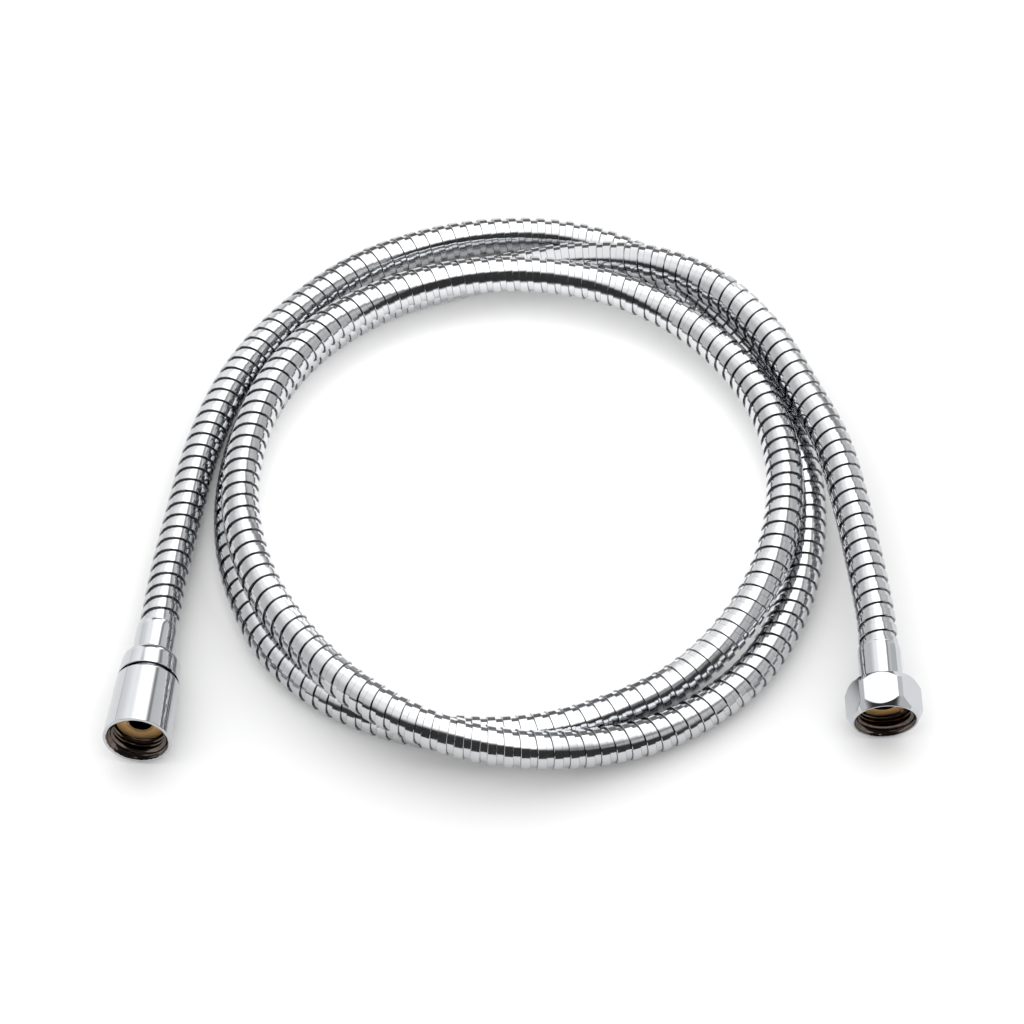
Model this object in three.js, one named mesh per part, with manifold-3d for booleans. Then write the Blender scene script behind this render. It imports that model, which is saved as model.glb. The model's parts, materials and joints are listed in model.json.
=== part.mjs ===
// Shower hose with a wound metal armour, a conical swivel nut on one end and a hexagonal one on the other.
// It lies as a loose ring of nearly three turns. Millimetres, +Z up, the floor at Z = 0.
import * as THREE from 'three';
import { mergeVertices } from 'three/addons/utils/BufferGeometryUtils.js';
import Module from 'manifold-3d';

const wasm = await Module();
wasm.setup();

// Clearances: between faces that meet end to end, and between a bore and what turns or sits in it.
const faceGap = 0.3;
const boreGap = 0.4;
const crimpGap = 0.3;

// Hose: the armour over its raised bands, and the rubber tube inside it.
const hoseDiameter = 14.4;
const armourWall = 1.3;
const linerWall = 1.3;
const armourSides = 12;
const linerSides = 8;
const hoseSteps = 80;

// Pipe thread G 1/2 in both nuts, left plain at its minor diameter.
const threadMinorDiameter = 18.63;
const leadInDiameter = 22.8;
const leadInDepth = 1.5;
const nutEdge = 0.3;

// Brass nipple: flange, the land it stands proud of the neck through the nut, barbed stem in the
// liner, and the water way.
const flangeThickness = 2.8;
const flangeLand = 2.615;
const barbHeight = 0.4;
const barbLength = 3.4;
const barbPitch = 4.6;
const barbCount = 3;
const seatBoreDiameter = 8.4;
const seatBevel = 0.9;
const waterWayDiameter = 5;
const waterWayTaper = 4;

// Crimped sleeve and the clamp ring inside it.
const ferruleWall = 0.4;
const ferruleFrontWall = 1;
const ferruleEdge = 0.2;
const bushLength = 4.4;

// Conical nut and the collar behind it.
const coneMouthDiameter = 25;
const coneRearDiameter = 23.2;
const coneNutLength = 26.3;
const coneSeatDepth = 7.7;
const coneWebThickness = 3;
const swivelRingThickness = 0.8;
const grooveWidth = 1.5;
const collarFrontDiameter = 22.8;
const collarShoulderDiameter = 21.8;
const collarLength = 9.8;
const collarShoulderLength = 3.2;
const collarRearWall = 0.7;
const collarSpigotLength = 5;
const collarSpigotWall = 0.9;
const collarFrontWall = 2.5;
const coneFerruleLength = 14.5;

// Hexagonal nut.
const hexAcrossFlats = 25;
const hexCornerDiameter = 27.8;
const hexLipDiameter = 23.8;
const hexRearDiameter = 24.6;
const hexBevelSlope = 1.7;
const hexNutLength = 14.2;
const hexSeatDepth = 7.5;
const hexWebThickness = 2;
const hexFerruleLength = 16.3;

// How each fitting lies: the middle of its mouth in plan from the ring's centre, the compass heading
// from the mouth back to the hose, counted from +Y towards +X, and how far its mouth is tipped up.
const coneMouth = [-134.9, -119.8];
const coneHeading = 4.7;
const coneTilt = 4.5;
const hexMouth = [134.9, -111.2];
const hexHeading = -1.6;
const hexTilt = -5.5;
// How far the hexagonal nut is rolled about its axis, its top flat towards the cone end.
const hexRoll = 10;

// The ring's centre, placed so that the middle of the whole part's box is at the origin.
const ringCentre = new THREE.Vector3(-0.627, -1.799, 0);

// The hose's route from the cone end to the hex end, about the ring's centre: degrees (falling, so
// clockwise from above), radius and height of its centre line.
const route = [
  [198, 135.0, 7.6], [186, 125.0, 7.2], [170, 120.2, 7.2], [153, 120.2, 7.2], [136, 122.0, 7.2],
  [118, 126.0, 7.2], [100, 128.3, 7.2], [82, 129.2, 7.2], [66, 126.4, 7.2], [50, 120.0, 7.2],
  [34, 113.6, 7.2], [18, 111.2, 7.2], [2, 111.8, 7.2], [-14, 114.0, 7.2], [-30, 118.6, 7.2],
  [-46, 123.2, 7.3], [-62, 124.4, 7.6], [-76, 125.0, 11.4], [-90, 125.6, 17.4], [-104, 123.6, 21.6],
  [-120, 117.4, 22.4], [-136, 111.0, 21.8], [-152, 107.0, 21.6], [-170, 103.4, 21.8],
  [-188, 100.4, 21.6], [-206, 99.8, 21.4], [-224, 99.4, 21.0], [-242, 98.0, 20.6], [-260, 97.3, 20.2],
  [-278, 97.5, 19.8], [-296, 98.9, 19.2], [-314, 99.8, 18.8], [-332, 100.8, 18.9], [-348, 102.0, 19.6],
  [-362, 103.0, 20.2], [-376, 104.4, 20.4], [-389, 106.4, 18.2], [-402, 107.6, 13.4],
  [-416, 108.2, 8.4], [-430, 109.0, 7.3], [-443, 111.6, 7.2], [-456, 113.6, 7.2], [-470, 115.4, 7.2],
  [-484, 116.6, 7.2], [-498, 115.6, 7.2], [-512, 111.4, 7.2], [-526, 108.0, 7.2], [-542, 105.2, 7.2],
  [-560, 104.4, 7.2], [-580, 105.0, 7.2], [-600, 105.4, 7.2], [-616, 105.8, 7.4], [-630, 108.6, 9.8],
  [-644, 112.6, 14.8], [-658, 116.4, 20.2], [-672, 118.6, 22.4], [-686, 117.8, 22.4],
  [-702, 117.2, 22.2], [-715, 122.2, 21.0], [-727, 128.0, 19.6], [-738.5, 138.2, 18.3],
];
// Where the hose is still straight behind each fitting, counted from the mouth.
const coneStraightStations = [45, 64];
const hexStraightStations = [43, 28.6];

// Segments round the outer fittings and round the small turned pieces.
const nutSegments = 36;
const insertSegments = 24;
const shoulderSteps = 4;

// Radii that the pieces share.
const armourRadius = hoseDiameter / 2;
const armourBore = armourRadius - armourWall;
const linerRadius = armourBore * Math.cos(Math.PI / armourSides) - faceGap;
const linerBore = linerRadius - linerWall;
const barbRadius = linerBore * Math.cos(Math.PI / linerSides) - faceGap;
const stemRadius = barbRadius - barbHeight;
const flangeRadius = threadMinorDiameter / 2 - boreGap;
const neckRadius = flangeRadius - flangeLand;
const neckHole = neckRadius + boreGap;
const ferruleBore = armourRadius + crimpGap;
const ferruleRadius = ferruleBore + ferruleWall;

// Stations along the cone end's axis, counted from the mouth back to the hose.
const coneFlangeBack = coneSeatDepth + flangeThickness;
const swivelRingFront = coneFlangeBack + faceGap;
const swivelRingBack = swivelRingFront + swivelRingThickness;
const coneWebFront = swivelRingBack + faceGap;
const coneWebBack = coneWebFront + coneWebThickness;
const spigotFront = coneNutLength - collarSpigotLength;
const collarFront = coneNutLength + grooveWidth;
const collarBack = collarFront + collarLength;
const collarPocket = spigotFront + collarFrontWall;
const coneFerruleFront = collarPocket + faceGap;
const coneFerruleBack = collarBack + coneFerruleLength;

// Stations along the hex end's axis.
const hexFlangeBack = hexSeatDepth + flangeThickness;
const hexWebFront = hexFlangeBack + faceGap;
const hexWebBack = hexWebFront + hexWebThickness;
const hexFerruleFront = hexWebBack + faceGap;
const hexFerruleBack = hexNutLength + hexFerruleLength;

// Stations inside a sleeve that starts at the given station: the neck's end, the liner's end, and
// where the armour stops behind the clamp ring.
function insideSleeve(ferruleFront) {
  const neckBack = ferruleFront + ferruleFrontWall;
  const linerFront = neckBack + faceGap;
  const bushBack = linerFront + bushLength;
  return { neckBack, linerFront, bushBack, armourFront: bushBack + faceGap };
}
const coneInside = insideSleeve(coneFerruleFront);
const hexInside = insideSleeve(hexFerruleFront);

// A frame on a fitting's axis: Z runs from the mouth back to the hose and Y points up.
function fittingFrame(mouth, height, headingDegrees, tiltDegrees) {
  const heading = THREE.MathUtils.degToRad(headingDegrees);
  const tilt = THREE.MathUtils.degToRad(tiltDegrees);
  const back = new THREE.Vector3(
    Math.sin(heading) * Math.cos(tilt),
    Math.cos(heading) * Math.cos(tilt),
    -Math.sin(tilt),
  );
  const side = new THREE.Vector3(0, 0, 1).cross(back).normalize();
  const up = back.clone().cross(side);
  const frame = new THREE.Group();
  frame.quaternion.setFromRotationMatrix(new THREE.Matrix4().makeBasis(side, up, back));
  frame.position.set(mouth[0], mouth[1], height).add(ringCentre);
  return { frame, back };
}

// Height of a mouth whose fitting touches the floor with the edge at this radius and station.
function mouthHeight(radius, station, tiltDegrees) {
  const tilt = THREE.MathUtils.degToRad(tiltDegrees);
  return radius * Math.cos(tilt) + station * Math.sin(tilt);
}

// The cone nut lies on its rear edge, the hex nut on the front end of its lowest corner.
const hexFlatEdge = Math.acos(hexAcrossFlats / hexCornerDiameter) - THREE.MathUtils.degToRad(hexRoll);
const hexDrop = hexCornerDiameter / 2 * Math.cos(hexFlatEdge);
const hexCornerFront = (hexCornerDiameter - hexLipDiameter) / 2 * hexBevelSlope;
const coneHeight = mouthHeight(coneRearDiameter / 2, coneNutLength - nutEdge, coneTilt);
const hexHeight = mouthHeight(hexDrop, hexCornerFront, hexTilt);
const coneEnd = fittingFrame(coneMouth, coneHeight, coneHeading, coneTilt);
const hexEnd = fittingFrame(hexMouth, hexHeight, hexHeading, hexTilt);

function onAxis(end, station) {
  return end.frame.position.clone().addScaledVector(end.back, station);
}

function routePoint([degrees, radius, height]) {
  const angle = THREE.MathUtils.degToRad(degrees);
  return new THREE.Vector3(radius * Math.cos(angle), radius * Math.sin(angle), height).add(ringCentre);
}

// Centre line of the hose, from the liner's end in the cone fitting to its end in the hex fitting.
const centreLine = new THREE.CatmullRomCurve3([
  onAxis(coneEnd, coneInside.linerFront),
  ...coneStraightStations.map((station) => onAxis(coneEnd, station)),
  ...route.map(routePoint),
  ...hexStraightStations.map((station) => onAxis(hexEnd, station)),
  onAxis(hexEnd, hexInside.linerFront),
]);
centreLine.arcLengthDivisions = 4000;

function polygon(PathClass, radius, sides) {
  const corners = Array.from({ length: sides }, (_, i) => {
    const angle = (i + 0.5) / sides * 2 * Math.PI;
    return new THREE.Vector2(radius * Math.cos(angle), radius * Math.sin(angle));
  });
  return new PathClass(corners);
}

// Tube along the hose's centre line.
function hoseTube(outerRadius, innerRadius, sides) {
  const section = polygon(THREE.Shape, outerRadius, sides);
  section.holes.push(polygon(THREE.Path, innerRadius, sides));
  return new THREE.ExtrudeGeometry(section, { steps: hoseSteps, extrudePath: centreLine });
}

// Ring turned about a fitting's axis from a closed profile of [radius, station] corners, which runs
// backwards along the outside and forwards along the bore.
function turned(profile, segments, startAngle = 0) {
  const corners = [...profile, profile[0]].map(([radius, station]) => new THREE.Vector2(radius, station));
  return new THREE.LatheGeometry(corners, segments, startAngle).rotateX(Math.PI / 2);
}

function plainRing(outerRadius, innerRadius, front, back, segments, startAngle) {
  const profile = [[outerRadius, front], [outerRadius, back], [innerRadius, back], [innerRadius, front]];
  return turned(profile, segments, startAngle);
}

function toManifold(geometry) {
  const bare = geometry.clone();
  bare.deleteAttribute('normal');
  bare.deleteAttribute('uv');
  const merged = mergeVertices(bare);
  return new wasm.Manifold(new wasm.Mesh({
    numProp: 3,
    vertProperties: new Float32Array(merged.attributes.position.array),
    triVerts: new Uint32Array(merged.index.array),
  }));
}

function fromManifold(solid) {
  const mesh = solid.getMesh();
  const geometry = new THREE.BufferGeometry();
  geometry.setAttribute('position', new THREE.BufferAttribute(mesh.vertProperties, 3));
  geometry.setIndex(new THREE.BufferAttribute(mesh.triVerts, 1));
  const flat = geometry.toNonIndexed();
  flat.computeVertexNormals();
  return flat;
}

// The armour is cut back behind each clamp ring, so the liner stands out of both its ends.
function hoseArmour() {
  const cutter = (end, inside) => {
    const length = inside.armourFront - inside.linerFront + faceGap;
    const disc = new THREE.CylinderGeometry(ferruleBore, ferruleBore, length, insertSegments);
    disc.rotateX(Math.PI / 2).translate(0, 0, inside.armourFront - length / 2);
    end.frame.updateMatrix();
    return toManifold(disc.applyMatrix4(end.frame.matrix));
  };
  const whole = toManifold(hoseTube(armourRadius, armourBore, armourSides));
  return fromManifold(whole.subtract(cutter(coneEnd, coneInside)).subtract(cutter(hexEnd, hexInside)));
}

function hoseLiner() {
  return hoseTube(linerRadius, linerBore, linerSides);
}

// Nipple: the flange seals on a washer, the neck carries the nut and the barbs hold the liner.
function insert(seat, inside) {
  const flangeBack = seat + flangeThickness;
  const barbs = Array.from({ length: barbCount }, (_, i) => {
    const front = inside.linerFront + barbPitch * (i + 1) - barbLength;
    return [[stemRadius, front], [barbRadius, front], [stemRadius, front + barbLength]];
  }).flat();
  const stemBack = inside.linerFront + barbPitch * (barbCount + 0.5);
  const seatBore = seatBoreDiameter / 2;
  const waterWay = waterWayDiameter / 2;
  return turned([
    [flangeRadius, seat],
    [flangeRadius, flangeBack],
    [neckRadius, flangeBack],
    [neckRadius, inside.neckBack],
    [stemRadius, inside.neckBack],
    ...barbs,
    [stemRadius, stemBack],
    [waterWay, stemBack],
    [waterWay, inside.neckBack],
    [seatBore, inside.neckBack - waterWayTaper],
    [seatBore, seat + seatBevel],
    [seatBore + seatBevel, seat],
  ], insertSegments);
}

// Thin sleeve crimped over the armour's end, with a front wall that the neck passes through.
function ferrule(front, back) {
  const wallBack = front + ferruleFrontWall;
  return turned([
    [ferruleRadius, front],
    [ferruleRadius, back - ferruleEdge],
    [ferruleRadius - ferruleEdge, back],
    [ferruleBore, back],
    [ferruleBore, wallBack],
    [neckHole, wallBack],
    [neckHole, front],
  ], nutSegments);
}

// Clamp ring round the liner, between the sleeve's front wall and the armour's end.
function bush(inside) {
  const inner = linerRadius + faceGap;
  return plainRing(ferruleBore - boreGap, inner, inside.linerFront, inside.bushBack, insertSegments);
}

// Bore of both nuts: the lead-in, the thread's bore, and the hole in the web for the neck.
function nutBore(webFront, webBack) {
  const threadRadius = threadMinorDiameter / 2;
  return [
    [neckHole, webBack],
    [neckHole, webFront],
    [threadRadius, webFront],
    [threadRadius, leadInDepth],
    [leadInDiameter / 2, 0],
  ];
}

function coneNut() {
  const mouthRadius = coneMouthDiameter / 2;
  const rearRadius = coneRearDiameter / 2;
  const rearBore = ferruleRadius + crimpGap + collarSpigotWall + boreGap;
  return turned([
    [mouthRadius - nutEdge, 0],
    [mouthRadius, nutEdge],
    [rearRadius, coneNutLength - nutEdge],
    [rearRadius - nutEdge, coneNutLength],
    [rearBore, coneNutLength],
    [rearBore, coneWebBack],
    ...nutBore(coneWebFront, coneWebBack),
  ], nutSegments);
}

// Hexagonal bar, turned to a bevel at both ends that rounds off its corners.
function hexNut() {
  const cornerRadius = hexCornerDiameter / 2;
  const lipRadius = hexLipDiameter / 2;
  const rearRadius = hexRearDiameter / 2;
  const frontBevel = (cornerRadius - lipRadius) * hexBevelSlope;
  const rearBevel = (cornerRadius - rearRadius) * hexBevelSlope;
  const rearBore = ferruleRadius + boreGap;
  const barCorner = Math.PI / 6 - THREE.MathUtils.degToRad(hexRoll);
  const bar = plainRing(
    hexAcrossFlats / Math.sqrt(3), stemRadius, -faceGap, hexNutLength + faceGap, 6, barCorner,
  );
  const blank = turned([
    [lipRadius, 0],
    [cornerRadius, frontBevel],
    [cornerRadius, hexNutLength - rearBevel],
    [rearRadius, hexNutLength],
    [rearBore, hexNutLength],
    [rearBore, hexWebBack],
    ...nutBore(hexWebFront, hexWebBack),
  ], nutSegments);
  return fromManifold(toManifold(blank).intersect(toManifold(bar)));
}

// Collar fixed on the sleeve; its spigot centres the rear of the cone nut, which turns on it.
function coneCollar() {
  const frontRadius = collarFrontDiameter / 2;
  const ferruleHole = ferruleRadius + crimpGap;
  const spigotRadius = ferruleHole + collarSpigotWall;
  const rearRadius = ferruleHole + collarRearWall;
  const shoulderFront = collarBack - collarShoulderLength;
  const shoulderHeight = collarShoulderDiameter / 2 - rearRadius;
  const shoulder = Array.from({ length: shoulderSteps + 1 }, (_, i) => {
    const angle = i / shoulderSteps * Math.PI / 2;
    return [
      rearRadius + shoulderHeight * Math.cos(angle),
      shoulderFront + collarShoulderLength * Math.sin(angle),
    ];
  });
  return turned([
    [spigotRadius, spigotFront],
    [spigotRadius, collarFront],
    [frontRadius - nutEdge, collarFront],
    [frontRadius, collarFront + nutEdge],
    ...shoulder,
    [ferruleHole, collarBack],
    [ferruleHole, collarPocket],
    [neckHole, collarPocket],
    [neckHole, spigotFront],
  ], nutSegments);
}

function swivelRing() {
  return plainRing(flangeRadius, neckHole, swivelRingFront, swivelRingBack, insertSegments);
}

const finishes = {
  armour: { color: 0xc9cbce, roughness: 0.16, metalness: 1 },
  chrome: { color: 0xdadce0, roughness: 0.06, metalness: 1 },
  brass: { color: 0xb98d4a, roughness: 0.32, metalness: 1 },
  rubber: { color: 0x26262a, roughness: 0.8, metalness: 0 },
  acetal: { color: 0xe9e6dc, roughness: 0.45, metalness: 0 },
};

function piece(name, geometry, finish) {
  const mesh = new THREE.Mesh(geometry, new THREE.MeshStandardMaterial(finishes[finish]));
  mesh.name = name;
  return mesh;
}

coneEnd.frame.add(
  piece('cone_nut', coneNut(), 'chrome'),
  piece('cone_end_swivel_ring', swivelRing(), 'acetal'),
  piece('cone_end_insert', insert(coneSeatDepth, coneInside), 'brass'),
  piece('cone_end_collar', coneCollar(), 'chrome'),
  piece('cone_end_ferrule', ferrule(coneFerruleFront, coneFerruleBack), 'chrome'),
  piece('cone_end_bush', bush(coneInside), 'acetal'),
);
hexEnd.frame.add(
  piece('hex_nut', hexNut(), 'chrome'),
  piece('hex_end_insert', insert(hexSeatDepth, hexInside), 'brass'),
  piece('hex_end_ferrule', ferrule(hexFerruleFront, hexFerruleBack), 'chrome'),
  piece('hex_end_bush', bush(hexInside), 'acetal'),
);

const showerHose = new THREE.Group();
showerHose.add(
  piece('hose_armour', hoseArmour(), 'armour'),
  piece('hose_liner', hoseLiner(), 'rubber'),
  coneEnd.frame,
  hexEnd.frame,
);

export default showerHose;
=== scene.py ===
"""Shower hose lying in a loose ring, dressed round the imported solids. Metres; the floor is Z = 0."""
import json
import math

import bmesh
import bpy
import numpy as np
from mathutils import Matrix, Vector


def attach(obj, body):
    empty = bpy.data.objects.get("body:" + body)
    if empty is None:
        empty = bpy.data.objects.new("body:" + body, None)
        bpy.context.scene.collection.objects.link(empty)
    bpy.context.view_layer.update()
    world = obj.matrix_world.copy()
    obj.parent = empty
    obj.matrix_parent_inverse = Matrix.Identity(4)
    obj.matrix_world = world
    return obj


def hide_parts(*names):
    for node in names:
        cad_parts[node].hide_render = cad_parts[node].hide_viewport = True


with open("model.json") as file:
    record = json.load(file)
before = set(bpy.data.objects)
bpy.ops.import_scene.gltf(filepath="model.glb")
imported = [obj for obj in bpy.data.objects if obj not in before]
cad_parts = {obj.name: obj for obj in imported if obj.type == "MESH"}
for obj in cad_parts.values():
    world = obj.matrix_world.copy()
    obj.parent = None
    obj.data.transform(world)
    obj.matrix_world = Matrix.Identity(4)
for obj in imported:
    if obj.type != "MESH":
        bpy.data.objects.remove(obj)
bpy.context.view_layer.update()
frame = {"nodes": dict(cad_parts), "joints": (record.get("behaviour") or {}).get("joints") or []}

MM = 0.001

# Camera

# The photograph looks down at 52.5 degrees, squarely across the two fittings, from 1.4 m.
RING_CENTRE = Vector((-0.627, -1.799, 0)) * MM
ELEVATION = math.radians(52.5)
DISTANCE = 1.4
FOCAL_PIXELS = 3660
PICTURE_PIXELS = 1024
SENSOR = 36.0
RING_CENTRE_ROW = 500

sight = Vector((0, math.cos(ELEVATION), -math.sin(ELEVATION)))
upright = Vector((0, math.sin(ELEVATION), math.cos(ELEVATION)))
camera_data = bpy.data.cameras.new("camera")
camera_data.sensor_width = SENSOR
camera_data.lens = FOCAL_PIXELS / PICTURE_PIXELS * SENSOR
camera = bpy.data.objects.new("camera", camera_data)
rise = (PICTURE_PIXELS / 2 - RING_CENTRE_ROW) / FOCAL_PIXELS * DISTANCE
camera.location = RING_CENTRE - sight * DISTANCE - upright * rise
camera.rotation_euler = (math.pi / 2 - ELEVATION, 0, 0)
bpy.context.scene.collection.objects.link(camera)
bpy.context.scene.camera = camera

# The hose's route

# Degrees about the ring's centre (falling, so clockwise from above), radius and height in mm.
ROUTE = [
    (198, 135.0, 7.6), (186, 125.0, 7.2), (170, 120.2, 7.2), (153, 120.2, 7.2), (136, 122.0, 7.2),
    (118, 126.0, 7.2), (100, 128.3, 7.2), (82, 129.2, 7.2), (66, 126.4, 7.2), (50, 120.0, 7.2),
    (34, 113.6, 7.2), (18, 111.2, 7.2), (2, 111.8, 7.2), (-14, 114.0, 7.2), (-30, 118.6, 7.2),
    (-46, 123.2, 7.3), (-62, 124.4, 7.6), (-76, 125.0, 11.4), (-90, 125.6, 17.4),
    (-104, 123.6, 21.6), (-120, 117.4, 22.4), (-136, 111.0, 21.8), (-152, 107.0, 21.6),
    (-170, 103.4, 21.8), (-188, 100.4, 21.6), (-206, 99.8, 21.4), (-224, 99.4, 21.0),
    (-242, 98.0, 20.6), (-260, 97.3, 20.2), (-278, 97.5, 19.8), (-296, 98.9, 19.2),
    (-314, 99.8, 18.8), (-332, 100.8, 18.9), (-348, 102.0, 19.6), (-362, 103.0, 20.2),
    (-376, 104.4, 20.4), (-389, 106.4, 18.2), (-402, 107.6, 13.4), (-416, 108.2, 8.4),
    (-430, 109.0, 7.3), (-443, 111.6, 7.2), (-456, 113.6, 7.2), (-470, 115.4, 7.2),
    (-484, 116.6, 7.2), (-498, 115.6, 7.2), (-512, 111.4, 7.2), (-526, 108.0, 7.2),
    (-542, 105.2, 7.2), (-560, 104.4, 7.2), (-580, 105.0, 7.2), (-600, 105.4, 7.2),
    (-616, 105.8, 7.4), (-630, 108.6, 9.8), (-644, 112.6, 14.8), (-658, 116.4, 20.2),
    (-672, 118.6, 22.4), (-686, 117.8, 22.4), (-702, 117.2, 22.2), (-715, 122.2, 21.0),
    (-727, 128.0, 19.6), (-738.5, 138.2, 18.3),
]
# Stations on each fitting's axis, counted in mm from its mouth, that the hose passes through.
CONE_STATIONS = (25.4, 45, 64)
HEX_STATIONS = (43, 28.6, 14.2)


def fitting_frame(joint_name):
    """Matrix of a fitting: Z runs from the mouth back to the hose, Y points up, mouth at its origin."""
    joint = next(j for j in frame["joints"] if j["name"] == joint_name)
    back = Vector(joint["axis"]).normalized()
    side = Vector((0, 0, 1)).cross(back).normalized()
    up = back.cross(side)
    matrix = Matrix((side, up, back)).transposed().to_4x4()
    matrix.translation = Vector(joint["pos_m"])
    return matrix


CONE_END = fitting_frame("cone_nut_spin")
HEX_END = fitting_frame("hex_nut_spin")


def route_points():
    for station in CONE_STATIONS:
        yield CONE_END @ Vector((0, 0, station * MM))
    for degrees, radius, height in ROUTE:
        angle = math.radians(degrees)
        yield RING_CENTRE + Vector((radius * math.cos(angle), radius * math.sin(angle), height)) * MM
    for station in HEX_STATIONS:
        yield HEX_END @ Vector((0, 0, station * MM))


def smooth_line(corners, spacing):
    """Centripetal spline through the corners, as evenly spaced points."""
    corners = np.array([list(c) for c in corners])
    padded = np.vstack([2 * corners[0] - corners[1], corners, 2 * corners[-1] - corners[-2]])
    t = np.linspace(0, 1, 60, endpoint=False)[:, None]
    stretches = []
    for a, b, c, d in zip(padded, padded[1:], padded[2:], padded[3:]):
        ab, bc, cd = (math.sqrt(np.linalg.norm(q - p)) for p, q in ((a, b), (b, c), (c, d)))
        leave = ((b - a) / ab - (c - a) / (ab + bc) + (c - b) / bc) * bc
        arrive = ((c - b) / bc - (d - b) / (bc + cd) + (d - c) / cd) * bc
        stretches.append(b + leave * t + (3 * (c - b) - 2 * leave - arrive) * t**2
                         + (2 * (b - c) + leave + arrive) * t**3)
    line = np.vstack([*stretches, corners[-1:]])
    along = np.concatenate([[0], np.cumsum(np.linalg.norm(np.diff(line, axis=0), axis=1))])
    even = np.linspace(0, along[-1], round(along[-1] / spacing) + 1)
    return np.column_stack([np.interp(even, along, line[:, k]) for k in range(3)]), along[-1]


LINE_SPACING = 1 * MM
line_points, LINE_LENGTH = smooth_line(route_points(), LINE_SPACING)

spline_data = bpy.data.curves.new("hose_centre_line", "CURVE")
spline_data.dimensions = "3D"
spline = spline_data.splines.new("POLY")
spline.points.add(len(line_points) - 1)
spline.points.foreach_set("co", np.column_stack([line_points, np.ones(len(line_points))]).ravel())
centre_line = bpy.data.objects.new("hose_centre_line", spline_data)
bpy.context.scene.collection.objects.link(centre_line)


# Nodes, colours and materials

def linear(hex_colour):
    """Scene-linear colour of an sRGB hex value."""
    parts = [int(hex_colour[i:i + 2], 16) / 255 for i in (1, 3, 5)]
    return [p / 12.92 if p <= 0.04045 else ((p + 0.055) / 1.055) ** 2.4 for p in parts] + [1]


def add(tree, kind, inputs=None, **settings):
    """Adds a node with its settings; an input is a value or the socket that feeds it."""
    node = tree.nodes.new(kind)
    for name, value in settings.items():
        setattr(node, name, value)
    for key, value in (inputs or {}).items():
        if isinstance(value, bpy.types.NodeSocket):
            tree.links.new(value, node.inputs[key])
        else:
            node.inputs[key].default_value = value
    return node


def new_material(name):
    """An empty material and its tree."""
    material = bpy.data.materials.new(name)
    material.use_nodes = True
    material.node_tree.nodes.clear()
    return material, material.node_tree


# Across the strip in mm: the middle of the raised band, and how far from it the painted shade at the
# foot of a seam starts, is full, begins to fade and has gone.
BAND_MIDDLE = 1.57
SEAM_SHADE_START, SEAM_SHADE_FULL, SEAM_SHADE_FADES, SEAM_SHADE_END = 1.58, 1.64, 1.72, 1.78
ARMOUR_RADIUS = 7.2


def polished_stainless_strip():
    """Bright-rolled stainless strip, buffed on the winding machine: near mirror, with faint drawing
    lines along the strip, a slightly cloudy buff and painted shade at the foot of each step."""
    material, tree = new_material("polished_stainless_strip")
    strip = add(tree, "ShaderNodeAttribute", attribute_name="strip").outputs["Vector"]
    # Drawing lines 0.15 mm apart and 12 mm long; the attribute is in mm across and along the strip.
    drawn = add(tree, "ShaderNodeMapping", {"Vector": strip, "Scale": (1 / 0.15, 1 / 12, 1)})
    lines = add(tree, "ShaderNodeTexNoise", {"Vector": drawn.outputs[0], "Scale": 1, "Detail": 2})
    cloud_place = add(tree, "ShaderNodeTexCoord").outputs["Object"]
    cloud = add(tree, "ShaderNodeTexNoise", {"Vector": cloud_place, "Scale": 1 / (9 * MM), "Detail": 3})
    roughness = add(tree, "ShaderNodeMapRange", {
        "Value": cloud.outputs["Fac"], "From Min": 0.3, "From Max": 0.7, "To Min": 0.07, "To Max": 0.15})
    colour = add(tree, "ShaderNodeMix", {
        "Factor": lines.outputs["Fac"], "A": linear("#B8B9BB"), "B": linear("#C6C7C9")}, data_type="RGBA")
    # Painted shade: the foot of each step between turns is darkened, as if shaded by the turn above it.
    across = add(tree, "ShaderNodeSeparateXYZ", {0: strip}).outputs["X"]
    from_middle = add(tree, "ShaderNodeMath", {0: across, 1: BAND_MIDDLE}, operation="SUBTRACT").outputs[0]
    from_middle = add(tree, "ShaderNodeMath", {0: from_middle}, operation="ABSOLUTE").outputs[0]
    step_starts = add(tree, "ShaderNodeMapRange", {
        0: from_middle, 1: SEAM_SHADE_START, 2: SEAM_SHADE_FULL, 3: 0.0, 4: 1.0}).outputs[0]
    step_ends = add(tree, "ShaderNodeMapRange", {
        0: from_middle, 1: SEAM_SHADE_FADES, 2: SEAM_SHADE_END, 3: 1.0, 4: 0.0}).outputs[0]
    painted_seam_shade = add(tree, "ShaderNodeMath", {0: step_starts, 1: step_ends}, operation="MULTIPLY").outputs[0]
    colour = add(tree, "ShaderNodeMix", {
        "Factor": painted_seam_shade, "A": colour.outputs["Result"], "B": linear("#6A6A6D")}, data_type="RGBA")
    grooves = add(tree, "ShaderNodeBump", {
        "Height": lines.outputs["Fac"], "Strength": 0.08, "Distance": 0.02 * MM})
    shader = add(tree, "ShaderNodeBsdfPrincipled", {
        "Base Color": colour.outputs["Result"], "Metallic": 1, "Roughness": roughness.outputs[0],
        "Normal": grooves.outputs[0]})
    add(tree, "ShaderNodeOutputMaterial", {"Surface": shader.outputs[0]})
    return material


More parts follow.
